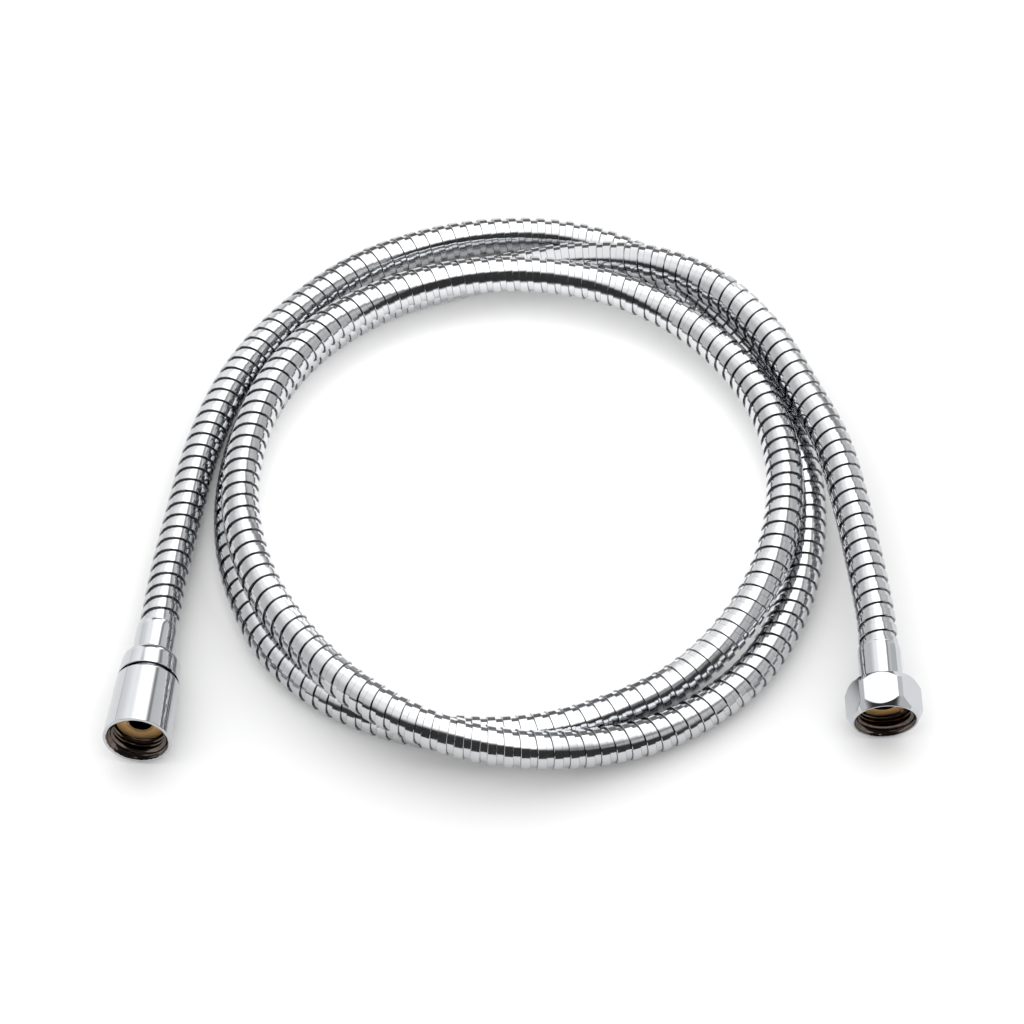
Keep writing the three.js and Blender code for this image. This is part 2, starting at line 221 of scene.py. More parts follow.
def mirror_chrome_plate():
    """Bright nickel-chrome plate on turned brass: a mirror with a trace of handling haze."""
    material, tree = new_material("mirror_chrome_plate")
    place = add(tree, "ShaderNodeTexCoord").outputs["Object"]
    haze = add(tree, "ShaderNodeTexNoise", {
        "Vector": place, "Scale": 1 / (7 * MM), "Detail": 4, "Roughness": 0.6})
    roughness = add(tree, "ShaderNodeMapRange", {
        "Value": haze.outputs["Fac"], "From Min": 0.35, "From Max": 0.75, "To Min": 0.03, "To Max": 0.09})
    colour = add(tree, "ShaderNodeMix", {
        "Factor": haze.outputs["Fac"], "A": linear("#BCBEC1"), "B": linear("#C3C5C8")}, data_type="RGBA")
    # Plating ripple of about 0.8 mm, left by the polishing under it.
    ripple = add(tree, "ShaderNodeTexNoise", {"Vector": place, "Scale": 1 / (0.8 * MM), "Detail": 1})
    relief = add(tree, "ShaderNodeBump", {
        "Height": ripple.outputs["Fac"], "Strength": 0.03, "Distance": 0.02 * MM})
    shader = add(tree, "ShaderNodeBsdfPrincipled", {
        "Base Color": colour.outputs["Result"], "Metallic": 1, "Roughness": roughness.outputs[0],
        "Normal": relief.outputs[0]})
    add(tree, "ShaderNodeOutputMaterial", {"Surface": shader.outputs[0]})
    return material


def turned_brass():
    """Bare free-cutting brass off the lathe: warm yellow, satin, with tool rings 0.25 mm apart."""
    material, tree = new_material("turned_brass")
    turning = add(tree, "ShaderNodeAttribute", attribute_name="turning").outputs["Vector"]
    cut = add(tree, "ShaderNodeMapping", {"Vector": turning, "Scale": (1 / 9, 1 / 0.25, 1)})
    rings = add(tree, "ShaderNodeTexNoise", {"Vector": cut.outputs[0], "Scale": 1, "Detail": 1})
    place = add(tree, "ShaderNodeTexCoord").outputs["Object"]
    tarnish = add(tree, "ShaderNodeTexNoise", {"Vector": place, "Scale": 1 / (4 * MM), "Detail": 3})
    colour = add(tree, "ShaderNodeMix", {
        "Factor": tarnish.outputs["Fac"], "A": linear("#E2B074"), "B": linear("#F8D9A0")}, data_type="RGBA")
    roughness = add(tree, "ShaderNodeMapRange", {
        "Value": tarnish.outputs["Fac"], "From Min": 0.3, "From Max": 0.7, "To Min": 0.58, "To Max": 0.72})
    relief = add(tree, "ShaderNodeBump", {
        "Height": rings.outputs["Fac"], "Strength": 0.35, "Distance": 0.04 * MM})
    shader = add(tree, "ShaderNodeBsdfPrincipled", {
        "Base Color": colour.outputs["Result"], "Metallic": 1, "Roughness": roughness.outputs[0],
        "Normal": relief.outputs[0]})
    add(tree, "ShaderNodeOutputMaterial", {"Surface": shader.outputs[0]})
    return material


def thin_plate_and_painted_shade():
    """Threads of a plated nut: the chrome hardly reaches in, so brown metal shows through, satin, darkened
    further as painted shade.
    """
    material, tree = new_material("thin_plate_and_painted_shade")
    place = add(tree, "ShaderNodeTexCoord").outputs["Object"]
    patches = add(tree, "ShaderNodeTexNoise", {"Vector": place, "Scale": 1 / (2 * MM), "Detail": 3})
    # Painted shade: the brown is taken nearly black, as the shade deep in the threads.
    colour = add(tree, "ShaderNodeMix", {
        "Factor": patches.outputs["Fac"], "A": linear("#453A35"), "B": linear("#7A716B")}, data_type="RGBA")
    relief = add(tree, "ShaderNodeBump", {
        "Height": patches.outputs["Fac"], "Strength": 0.1, "Distance": 0.03 * MM})
    shader = add(tree, "ShaderNodeBsdfPrincipled", {
        "Base Color": colour.outputs["Result"], "Metallic": 1, "Roughness": 0.12,
        "Normal": relief.outputs[0]})
    add(tree, "ShaderNodeOutputMaterial", {"Surface": shader.outputs[0]})
    return material


def bore_painted_shade():
    """Inside of the drilled water way: painted shade, brass made nearly black where the deep bore is
    shaded.
    """
    material, tree = new_material("bore_painted_shade")
    place = add(tree, "ShaderNodeTexCoord").outputs["Object"]
    shade_blotches = add(tree, "ShaderNodeTexNoise", {"Vector": place, "Scale": 1 / (0.9 * MM), "Detail": 4})
    # Painted shade: a blotchy, nearly black brown.
    colour = add(tree, "ShaderNodeMix", {
        "Factor": shade_blotches.outputs["Fac"], "A": linear("#140C08"), "B": linear("#3A2415")}, data_type="RGBA")
    relief = add(tree, "ShaderNodeBump", {
        "Height": shade_blotches.outputs["Fac"], "Strength": 0.3, "Distance": 0.05 * MM})
    shader = add(tree, "ShaderNodeBsdfPrincipled", {
        "Base Color": colour.outputs["Result"], "Metallic": 1, "Roughness": 0.6,
        "Normal": relief.outputs[0]})
    add(tree, "ShaderNodeOutputMaterial", {"Surface": shader.outputs[0]})
    return material


def extruded_epdm():
    """Extruded EPDM rubber: matt black, with a faint bloom and die lines."""
    material, tree = new_material("extruded_epdm")
    place = add(tree, "ShaderNodeTexCoord").outputs["Object"]
    bloom = add(tree, "ShaderNodeTexNoise", {"Vector": place, "Scale": 1 / (5 * MM), "Detail": 4})
    colour = add(tree, "ShaderNodeMix", {
        "Factor": bloom.outputs["Fac"], "A": linear("#1D1D1F"), "B": linear("#2D2D30")}, data_type="RGBA")
    grain = add(tree, "ShaderNodeTexNoise", {"Vector": place, "Scale": 1 / (0.3 * MM), "Detail": 2})
    relief = add(tree, "ShaderNodeBump", {
        "Height": grain.outputs["Fac"], "Strength": 0.2, "Distance": 0.05 * MM})
    shader = add(tree, "ShaderNodeBsdfPrincipled", {
        "Base Color": colour.outputs["Result"], "Roughness": 0.75, "Normal": relief.outputs[0]})
    add(tree, "ShaderNodeOutputMaterial", {"Surface": shader.outputs[0]})
    return material


def moulded_acetal():
    """Natural acetal: milky white, slightly waxy, with a fine mould texture."""
    material, tree = new_material("moulded_acetal")
    place = add(tree, "ShaderNodeTexCoord").outputs["Object"]
    cloud = add(tree, "ShaderNodeTexNoise", {"Vector": place, "Scale": 1 / (3 * MM), "Detail": 2})
    colour = add(tree, "ShaderNodeMix", {
        "Factor": cloud.outputs["Fac"], "A": linear("#E3DFD3"), "B": linear("#EFECE3")}, data_type="RGBA")
    grain = add(tree, "ShaderNodeTexNoise", {"Vector": place, "Scale": 1 / (0.15 * MM), "Detail": 2})
    relief = add(tree, "ShaderNodeBump", {
        "Height": grain.outputs["Fac"], "Strength": 0.15, "Distance": 0.02 * MM})
    shader = add(tree, "ShaderNodeBsdfPrincipled", {
        "Base Color": colour.outputs["Result"], "Roughness": 0.42, "IOR": 1.48,
        "Normal": relief.outputs[0]})
    add(tree, "ShaderNodeOutputMaterial", {"Surface": shader.outputs[0]})
    return material


STRIP = polished_stainless_strip()
CHROME = mirror_chrome_plate()
BRASS = turned_brass()
THREAD = thin_plate_and_painted_shade()
BORE = bore_painted_shade()
EPDM = extruded_epdm()
ACETAL = moulded_acetal()


# Armour and liner, by Geometry Nodes

STRIP_PITCH = 5.7
TURN_SEGMENTS = 24
# One turn of the strip, cut across: [along the hose, radius] in mm. A flat raised band between two
# steps that lean in at the top, and a recessed band whose tail runs on under the next turn's edge.
STRIP_SECTION = [
    (-0.14, 6.42), (0.00, 7.08), (0.12, ARMOUR_RADIUS), (3.02, ARMOUR_RADIUS), (3.14, 7.08), (3.28, 6.36),
    (6.40, 6.36), (6.40, 6.18), (3.15, 6.18), (2.88, 6.88), (0.28, 6.88), (0.05, 6.42),
]
CONE_ARMOUR_STATION = 30.4
HEX_ARMOUR_STATION = 19.2
LINER_RADIUS = 5.4
LINER_WALL = 1.3
LINER_STEP = 5.0
LINER_SIDES = 14
# Edges that turn by more than this are shaded sharp.
ARMOUR_SHARP_DEGREES = 25
LINER_SHARP_DEGREES = 40
TURNED_SHARP_DEGREES = 28


def wound_strip_tree():
    """Winds the input polygon, a strip's section, along the centre line as one long helix."""
    tree = bpy.data.node_groups.new("wound_strip", "GeometryNodeTree")
    for name, kind in (("Section", "Geometry"), ("Centre line", "Object"), ("Section corners", "Int"),
                       ("Turns", "Int"), ("Segments a turn", "Int"), ("Pitch", "Float"),
                       ("Start", "Float"), ("Finish", "Material")):
        tree.interface.new_socket(name, in_out="INPUT", socket_type=f"NodeSocket{kind}")
    tree.interface.new_socket("Strip", in_out="OUTPUT", socket_type="NodeSocketGeometry")
    given = add(tree, "NodeGroupInput").outputs
    rows = add(tree, "ShaderNodeMath", {
        0: given["Turns"], 1: given["Segments a turn"], 2: 1.0}, operation="MULTIPLY_ADD").outputs[0]
    columns = add(tree, "ShaderNodeMath", {0: given["Section corners"], 1: 1.0}).outputs[0]
    grid = add(tree, "GeometryNodeMeshGrid", {"Vertices X": columns, "Vertices Y": rows})
    # A grid's vertices are counted column by column.
    index = add(tree, "GeometryNodeInputIndex").outputs[0]
    column = add(tree, "ShaderNodeMath", {0: add(
        tree, "ShaderNodeMath", {0: index, 1: rows}, operation="DIVIDE").outputs[0]},
        operation="FLOOR").outputs[0]
    row = add(tree, "ShaderNodeMath", {0: index, 1: rows}, operation="MODULO").outputs[0]
    corner = add(tree, "ShaderNodeMath", {
        0: column, 1: given["Section corners"]}, operation="MODULO").outputs[0]
    section = add(tree, "GeometryNodeSampleIndex", {
        "Geometry": given["Section"], "Value": add(tree, "GeometryNodeInputPosition").outputs[0],
        "Index": corner}, data_type="FLOAT_VECTOR", domain="POINT")
    section = add(tree, "ShaderNodeSeparateXYZ", {0: section.outputs["Value"]}).outputs
    turn = add(tree, "ShaderNodeMath", {
        0: row, 1: given["Segments a turn"]}, operation="DIVIDE").outputs[0]
    angle = add(tree, "ShaderNodeMath", {0: turn, 1: 2 * math.pi}, operation="MULTIPLY").outputs[0]
    station = add(tree, "ShaderNodeMath", {
        0: turn, 1: given["Pitch"], 2: given["Start"]}, operation="MULTIPLY_ADD").outputs[0]
    station = add(tree, "ShaderNodeMath", {0: station, 1: section["X"]}).outputs[0]
    line = add(tree, "GeometryNodeObjectInfo", {"Object": given["Centre line"]}).outputs["Geometry"]
    place = add(tree, "GeometryNodeSampleCurve", {"Curves": line, "Length": station}, mode="LENGTH").outputs
    sideways = add(tree, "ShaderNodeVectorMath", {
        0: place["Tangent"], 1: place["Normal"]}, operation="CROSS_PRODUCT").outputs[0]
    corner_place = place["Position"]
    for direction, amount in (
            (place["Normal"], add(tree, "ShaderNodeMath", {0: angle}, operation="COSINE").outputs[0]),
            (sideways, add(tree, "ShaderNodeMath", {0: angle}, operation="SINE").outputs[0])):
        reach = add(tree, "ShaderNodeMath", {0: section["Y"], 1: amount}, operation="MULTIPLY").outputs[0]
        step = add(tree, "ShaderNodeVectorMath", {0: direction, "Scale": reach}, operation="SCALE")
        corner_place = add(tree, "ShaderNodeVectorMath", {0: corner_place, 1: step.outputs[0]}).outputs[0]
    # Place across and along the strip in mm, for the drawing lines.
    across = add(tree, "ShaderNodeMath", {0: section["X"], 1: 1 / MM}, operation="MULTIPLY").outputs[0]
    run = add(tree, "ShaderNodeMath", {
        0: turn, 1: 2 * math.pi * ARMOUR_RADIUS}, operation="MULTIPLY").outputs[0]
    marks = add(tree, "ShaderNodeCombineXYZ", {"X": across, "Y": run}).outputs[0]
    marked = add(tree, "GeometryNodeStoreNamedAttribute", {
        "Geometry": grid.outputs["Mesh"], "Name": "strip", "Value": marks},
        data_type="FLOAT_VECTOR", domain="POINT")
    wound = add(tree, "GeometryNodeSetPosition", {
        "Geometry": marked.outputs[0], "Position": corner_place})
    closed = add(tree, "GeometryNodeMergeByDistance", {"Geometry": wound.outputs[0], "Distance": 1e-6})
    whole = add(tree, "GeometryNodeRealizeInstances", {"Geometry": closed.outputs[0]})
    painted = add(tree, "GeometryNodeSetMaterial", {
        "Geometry": whole.outputs[0], "Material": given["Finish"]})
    add(tree, "NodeGroupOutput", {"Strip": painted.outputs[0]})
    return tree


def rubber_tube_tree():
    """Skin of a round tube along the centre line."""
    tree = bpy.data.node_groups.new("rubber_tube", "GeometryNodeTree")
    for name, kind in (("Unused", "Geometry"), ("Centre line", "Object"), ("Radius", "Float"),
                       ("Step", "Float"), ("Sides", "Int"), ("Finish", "Material")):
        tree.interface.new_socket(name, in_out="INPUT", socket_type=f"NodeSocket{kind}")
    tree.interface.new_socket("Tube", in_out="OUTPUT", socket_type="NodeSocketGeometry")
    given = add(tree, "NodeGroupInput").outputs
    line = add(tree, "GeometryNodeObjectInfo", {"Object": given["Centre line"]}).outputs["Geometry"]
    stepped = add(tree, "GeometryNodeResampleCurve", {
        "Curve": line, "Length": given["Step"]}, mode="LENGTH")
    ring = add(tree, "GeometryNodeCurvePrimitiveCircle", {
        "Resolution": given["Sides"], "Radius": given["Radius"]})
    skin = add(tree, "GeometryNodeCurveToMesh", {
        "Curve": stepped.outputs[0], "Profile Curve": ring.outputs["Curve"]})
    whole = add(tree, "GeometryNodeRealizeInstances", {"Geometry": skin.outputs[0]})
    painted = add(tree, "GeometryNodeSetMaterial", {
        "Geometry": whole.outputs[0], "Material": given["Finish"]})
    add(tree, "NodeGroupOutput", {"Tube": painted.outputs[0]})
    return tree


def linked(name, mesh):
    piece = bpy.data.objects.new(name, mesh)
    bpy.context.scene.collection.objects.link(piece)
    return piece


def grown(name, seed, tree, sizes, wall=None):
    """Runs a tree on a seed mesh and keeps the result as a plain mesh."""
    source = linked(name + "_seed", seed)
    modifier = source.modifiers.new("grow", "NODES")
    modifier.node_group = tree
    for socket in tree.interface.items_tree:
        if socket.in_out == "INPUT" and socket.name in sizes:
            modifier[socket.identifier] = sizes[socket.name]
    if wall:
        thicken = source.modifiers.new("wall", "SOLIDIFY")
        thicken.thickness, thicken.offset = wall, -1
    bpy.context.view_layer.update()
    evaluated = source.evaluated_get(bpy.context.evaluated_depsgraph_get())
    mesh = bpy.data.meshes.new_from_object(evaluated)
    mesh.name = name
    bpy.data.objects.remove(source)
    return linked(name, mesh)


def finished(piece, sharp_degrees, material=None):
    """Closes open ends, turns faces outwards and shades smooth but for the sharp edges."""
    mesh = piece.data
    work = bmesh.new()
    work.from_mesh(mesh)
    bmesh.ops.remove_doubles(work, verts=work.verts, dist=1e-6)
    bmesh.ops.dissolve_degenerate(work, edges=work.edges, dist=1e-7)
    open_edges = [e for e in work.edges if e.is_boundary]
    if open_edges:
        bmesh.ops.holes_fill(work, edges=open_edges)
    bmesh.ops.recalc_face_normals(work, faces=work.faces)
    work.to_mesh(mesh)
    work.free()
    if material:
        mesh.materials.clear()
        mesh.materials.append(material)
    mesh.shade_smooth()
    mesh.set_sharp_from_angle(angle=math.radians(sharp_degrees))
    return piece


section_mesh = bpy.data.meshes.new("strip_section")
corner_count = len(STRIP_SECTION)
section_mesh.from_pydata([(a * MM, r * MM, 0) for a, r in STRIP_SECTION],
                         [(i, (i + 1) % corner_count) for i in range(corner_count)], [])
armour_start = (CONE_ARMOUR_STATION - CONE_STATIONS[0]) * MM
armour_end = LINE_LENGTH - (HEX_ARMOUR_STATION - HEX_STATIONS[-1]) * MM
strip_tail = max(a for a, r in STRIP_SECTION)
turns = int((armour_end - armour_start - strip_tail * MM) / (STRIP_PITCH * MM))
armour = grown("wound_armour", section_mesh, wound_strip_tree(), {
    "Centre line": centre_line, "Section corners": corner_count, "Turns": turns,
    "Segments a turn": TURN_SEGMENTS, "Pitch": STRIP_PITCH * MM, "Start": armour_start,
    "Finish": STRIP})
finished(armour, ARMOUR_SHARP_DEGREES)
liner = grown("water_tube", bpy.data.meshes.new("liner_seed"), rubber_tube_tree(), {
    "Centre line": centre_line, "Radius": LINER_RADIUS * MM, "Step": LINER_STEP * MM,
    "Sides": LINER_SIDES, "Finish": EPDM}, wall=LINER_WALL * MM)
finished(liner, LINER_SHARP_DEGREES)
bpy.data.objects.remove(centre_line)


# Turned and milled fittings

THREAD_PITCH = 1.814
THREAD_MAJOR = 20.955 / 2
THREAD_MINOR = 18.63 / 2
THREAD_STEPS = 12
# Where the thread starts behind the mouth, how far it takes to reach its depth there, how nearly its
# wave is a zigzag (1 is one), and how much steeper its flanks are than without flat crests and roots.
THREAD_FRONT, THREAD_FADE = 0.45, 0.3
THREAD_ZIGZAG, FLANK_STEEPNESS = 0.97, 1.4
# The turned lead-in of a mouth, and how deep the thread still is where it runs out into it.
LEAD_IN_RADIUS, LEAD_IN_DEPTH, SHALLOW_THREAD = 11.3, 2.6, 0.35
# The mouth's inner edge is broken over this width.
MOUTH_EDGE = 0.15
TURNED_COLUMNS = 96
MARK_RADIUS = 9
EASING_STEPS = 3
GUARD = 0.15


def eased(corners):
    """[radius, station] corners; a third number rounds the corner off over that many mm."""
    points = []
    for i, corner in enumerate(corners):
        here = np.array(corner[:2])
        if len(corner) < 3:
            points.append(here)
            continue
        before = np.array(corners[i - 1][:2]) - here
        after = np.array(corners[(i + 1) % len(corners)][:2]) - here
        start, end = (here + v / np.linalg.norm(v) * corner[2] for v in (before, after))
        # A guard point just beyond each end keeps the shading of the long faces beside it straight.
        guards = []
        for v in (before, after):
            room = np.linalg.norm(v)
            guards.append(here + v / room * min(corner[2] + GUARD, max(corner[2], 0.45 * room)))
        points.append(guards[0])
        for t in np.linspace(0, 1, EASING_STEPS + 1):
            points.append((1 - t) ** 2 * start + 2 * t * (1 - t) * here + t * t * end)
        points.append(guards[1])
    return points


def thread(angle, back):
    """Corners along a threaded bore from back to front, with its turned lead-in, at one angle."""
    lap = angle / (2 * math.pi)
    count = math.ceil((back - THREAD_FRONT) / THREAD_PITCH * THREAD_STEPS)
    points = []
    for i in range(count, -THREAD_STEPS - 1, -1):
        station = THREAD_FRONT + (i / THREAD_STEPS + lap) * THREAD_PITCH
        station = min(max(station, THREAD_FRONT), back)
        phase = (station - THREAD_FRONT) / THREAD_PITCH - lap
        rounded = math.asin(THREAD_ZIGZAG * math.sin(2 * math.pi * phase)) / math.asin(THREAD_ZIGZAG)
        runout = min(1, max(0, (back - station) / THREAD_PITCH))
        flank = min(1, max(-1, FLANK_STEEPNESS * rounded))
        lead_in = LEAD_IN_RADIUS - (LEAD_IN_RADIUS - THREAD_MINOR) * station / LEAD_IN_DEPTH
        crest = max(THREAD_MINOR, lead_in)
        root = max(THREAD_MAJOR, crest + SHALLOW_THREAD)
        fade = min(1, (station - THREAD_FRONT) / THREAD_FADE)
        depth = (root - crest) * (flank + 1) / 2 * runout * fade
        points.append(np.array([crest + depth, station]))
    return points + [np.array([LEAD_IN_RADIUS, 0.4 * MOUTH_EDGE])]


def turned(name, end, profile_at, material, angles=None):
    """Closed skin about a fitting's axis, from the [radius, station] corners that profile_at gives
    for an angle. The last column meets the first, so a thread shifts by one pitch there."""
    if angles is None:
        angles = np.linspace(0, 2 * math.pi, TURNED_COLUMNS + 1)
    profiles = np.array([profile_at(a) for a in angles])
    radius, station = profiles[..., 0] * MM, profiles[..., 1] * MM
    spin = np.asarray(angles)[:, None]
    local = np.stack([radius * np.cos(spin), radius * np.sin(spin), station], axis=-1)
    count = local.shape[1]
    verts = local.reshape(-1, 3) @ np.array(end.to_3x3()).T + np.array(end.translation)
    faces = [(j * count + i, j * count + (i + 1) % count,
              (j + 1) * count + (i + 1) % count, (j + 1) * count + i)
             for j in range(len(angles) - 1) for i in range(count)]
    mesh = bpy.data.meshes.new(name)
    mesh.from_pydata(verts.tolist(), [], faces)
    # Distance round, at a usual radius, and along the turned profile in mm, for the tool rings.
    mark = mesh.attributes.new("turning", "FLOAT_VECTOR", "CORNER")
    travel = np.concatenate([[0], np.cumsum(np.linalg.norm(np.diff(profiles[0], axis=0), axis=1))])
    corners = []
    for j in range(len(angles) - 1):
        for i in range(count):
            far = travel[i + 1] if i + 1 < count else travel[i]
            here, there = angles[j] * MARK_RADIUS, angles[j + 1] * MARK_RADIUS
            corners += [(here, travel[i], 0), (here, far, 0), (there, far, 0), (there, travel[i], 0)]
    mark.data.foreach_set("vector", np.array(corners, dtype=np.float32).ravel())
    return finished(linked(name, mesh), TURNED_SHARP_DEGREES, material)


# Sizes in mm that the fittings share; stations count from each mouth.
NECK_RADIUS, NECK_HOLE = 6.3, 6.7
FLANGE_RADIUS, FLANGE_THICKNESS = 8.915, 2.8
SLEEVE_RADIUS, SLEEVE_BORE = 7.9, 7.5
SEAT_BORE, WATER_WAY = 4.2, 2.5
SEAT_BEVEL, WATER_WAY_TAPER = 0.9, 4
STEM_RADIUS, BARB_RADIUS, STEM_LENGTH = 3.09, 3.49, 16.4
BARB_FRONT, BARB_PITCH, BARB_LENGTH, BARBS = 1.5, 4.6, 3.4, 3
# The sleeve is drawn in over its last stretch, most of it round a quarter of a circle.
DRAWN_LENGTH, DRAWN_ROUND, DRAWN_BY, DRAWN_STEPS = 3.4, 3.0, 0.28, 8
SLEEVE_END_RADIUS, SLEEVE_END_BORE, SLEEVE_FRONT_WALL = 7.62, 7.42, 1


def nipple(seat, neck_back):
    """Brass nipple: sealing flange, neck and barbed stem, with the water way through it."""
    barbs = []
    for k in range(BARBS):
        front = neck_back + BARB_FRONT + k * BARB_PITCH
        barbs += [(STEM_RADIUS, front), (BARB_RADIUS, front + 0.05, 0.04),
                  (STEM_RADIUS, front + BARB_LENGTH)]
    stem_back = neck_back + STEM_LENGTH
    return eased([
        (NECK_RADIUS, seat + FLANGE_THICKNESS + 0.8), (NECK_RADIUS, neck_back, 0.2),
        (STEM_RADIUS, neck_back), *barbs,
        (STEM_RADIUS, stem_back, 0.15), (WATER_WAY, stem_back, 0.1), (WATER_WAY, neck_back),
        (SEAT_BORE, neck_back - WATER_WAY_TAPER), (SEAT_BORE, seat + SEAT_BEVEL, 0.2),
        (SEAT_BORE + SEAT_BEVEL, seat, 0.15),
        (FLANGE_RADIUS, seat, 0.25), (FLANGE_RADIUS, seat + FLANGE_THICKNESS, 0.2),
        (NECK_RADIUS, seat + FLANGE_THICKNESS, 0.1),
    ])


def sleeve(front, back):
    """Pressed sleeve, drawn in to the armour at its back and with a rolled end."""
    drawn_in = []
    for k in range(DRAWN_STEPS + 1):
        turn = k / DRAWN_STEPS * math.pi / 2
        drawn_in.append((SLEEVE_END_RADIUS + DRAWN_BY * math.cos(turn),
                         back - DRAWN_LENGTH + DRAWN_ROUND * math.sin(turn)))
    return eased([
        (SLEEVE_RADIUS, front, 0.3), *drawn_in, (SLEEVE_END_RADIUS, back, 0.1),
        (SLEEVE_END_BORE, back, 0.08), (SLEEVE_BORE - 0.06, back - 2.6), (SLEEVE_BORE, back - 4),
        (SLEEVE_BORE, front + SLEEVE_FRONT_WALL), (NECK_HOLE, front + SLEEVE_FRONT_WALL),
        (NECK_HOLE, front),
    ])


CONE_MOUTH, CONE_REAR, CONE_LENGTH = 12.5, 11.6, 26.3
CONE_POCKET, CONE_WEB_FRONT, CONE_WEB_BACK = 9.5, 11.9, 14.9
CONE_THREAD_BACK = 7.8


def cone_nut(angle):
    """Conical nut: thread at its front, a web round the nipple's neck and a pocket for the collar."""
    return [
        *eased([(LEAD_IN_RADIUS + MOUTH_EDGE, 0), (CONE_MOUTH, 0, 0.2), (CONE_REAR, CONE_LENGTH, 0.35),
                (CONE_POCKET, CONE_LENGTH, 0.15), (CONE_POCKET, CONE_WEB_BACK),
                (NECK_HOLE, CONE_WEB_BACK), (NECK_HOLE, CONE_WEB_FRONT),
                (THREAD_MINOR, CONE_WEB_FRONT)]),
        *thread(angle, CONE_THREAD_BACK),
    ]


HEX_FLAT, HEX_CORNER = 12.5, 13.9
HEX_LIP, HEX_REAR, HEX_LENGTH, HEX_BEVEL = 11.9, 12.3, 14.2, 1.7
HEX_POCKET, HEX_WEB_FRONT, HEX_WEB_BACK = 8.3, 10.6, 12.6
HEX_THREAD_BACK = 8.0
# Degrees that the nut is rolled about its axis, its top flat towards the cone end.
HEX_ROLL = 10


def hex_columns():
    """Angles of the hexagon's columns, close together where a flat meets the turned corner."""
    edge = math.degrees(math.acos(HEX_FLAT / HEX_CORNER))
    half = [0, 4, 8, 12, 15, 18, 21, 23.5, edge - 0.5, edge - 0.15, edge + 0.15, edge + 0.5, 28]
    one_flat = [-30] + [-a for a in reversed(half[1:])] + half
    degrees = [centre + a - HEX_ROLL for centre in range(30, 390, 60) for a in one_flat]
    return [math.radians(d) for d in degrees + [360 - HEX_ROLL]]


def hex_nut(angle):
    """Hexagonal nut with both its ends turned down to a bevel, thread, web and pocket inside."""
    from_flat = (math.degrees(angle) + HEX_ROLL) % 60 - 30
    reach = min(HEX_FLAT / math.cos(math.radians(from_flat)), HEX_CORNER)
    front = (reach - HEX_LIP) * HEX_BEVEL
    rear = HEX_LENGTH - (reach - HEX_REAR) * HEX_BEVEL
    return [
        *eased([(LEAD_IN_RADIUS + MOUTH_EDGE, 0), (HEX_LIP, 0, 0.1), (reach, front, 0.18),
                (reach, rear, 0.18), (HEX_REAR, HEX_LENGTH, 0.1), (HEX_POCKET, HEX_LENGTH, 0.15),
                (HEX_POCKET, HEX_WEB_BACK), (NECK_HOLE, HEX_WEB_BACK), (NECK_HOLE, HEX_WEB_FRONT),
                (THREAD_MINOR, HEX_WEB_FRONT)]),
        *thread(angle, HEX_THREAD_BACK),
    ]


def collar():
    """Collar behind the cone nut: a spigot in the nut's rear, a dark groove and a rounded shoulder."""
    spigot, spigot_front, spigot_wall = 9.1, 21.3, 2.5
    front, front_radius = 27.8, 11.4
    shoulder, shoulder_start, shoulder_length, shoulder_steps = 10.9, 34.4, 3.2, 12
    rear, bore = 8.9, 8.2
    rounded = []
    for k in range(shoulder_steps + 1):
        turn = k / shoulder_steps * math.pi / 2
        rounded.append((rear + (shoulder - rear) * math.cos(turn),
                        shoulder_start + shoulder_length * math.sin(turn)))
    return eased([
        (spigot, spigot_front, 0.15), (spigot, front), (front_radius, front, 0.35), *rounded,
        (bore, shoulder_start + shoulder_length, 0.15), (bore, spigot_front + spigot_wall),
        (NECK_HOLE, spigot_front + spigot_wall), (NECK_HOLE, spigot_front),
    ])


fittings = {
    "cone_swivel_nut": (turned("cone_swivel_nut", CONE_END, cone_nut, CHROME),
                        "cone_nut", "cone_nut", "chrome"),
    "cone_collar": (turned("cone_collar", CONE_END, lambda a: collar(), CHROME),
                    "cone_end_collar", "hose", "chrome"),
    "cone_sleeve": (turned("cone_sleeve", CONE_END, lambda a: sleeve(24.1, 52.1), CHROME),
                    "cone_end_ferrule", "hose", "chrome"),
    "cone_nipple": (turned("cone_nipple", CONE_END, lambda a: nipple(7.7, 25.1), BRASS),
                    "cone_end_insert", "hose", "brass"),
    "hex_swivel_nut": (turned("hex_swivel_nut", HEX_END, hex_nut, CHROME, angles=hex_columns()),
                       "hex_nut", "hex_nut", "chrome"),
    "hex_sleeve": (turned("hex_sleeve", HEX_END, lambda a: sleeve(12.9, 30.5), CHROME),
                   "hex_end_ferrule", "hose", "chrome"),
    "hex_nipple": (turned("hex_nipple", HEX_END, lambda a: nipple(7.5, 13.9), BRASS),
                   "hex_end_insert", "hose", "brass"),
}
# The finish changes inside: thinly plated threads in the nuts, darkened further as painted shade, and
# painted shade in the nipples' water ways. Inner and outer radius, front and back bound the faces that take
# it, in mm;
# they face the axis.
for name, end, finish, inner, outer, front, back in (
        ("cone_swivel_nut", CONE_END, THREAD, 7.0, 11.4, 0.03, 14),
        ("hex_swivel_nut", HEX_END, THREAD, 7.0, 11.4, 0.03, 14),
        ("cone_nipple", CONE_END, BORE, 0.0, 4.3, 8.5, 50),
        ("hex_nipple", HEX_END, BORE, 0.0, 5.0, 7.6, 50)):
    mesh = fittings[name][0].data
    mesh.materials.append(finish)
    to_axis = end.inverted()
    for face in mesh.polygons:
        place = to_axis @ face.center / MM
        radius = math.hypot(place.x, place.y)
        facing = to_axis.to_3x3() @ face.normal
        faces_axis = facing.x * place.x + facing.y * place.y < 0.02 * radius
        face.material_index = int(front < place.z < back and inner < radius < outer and faces_axis)
for piece, node, body, slot in fittings.values():
    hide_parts(node)
    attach(piece, body)

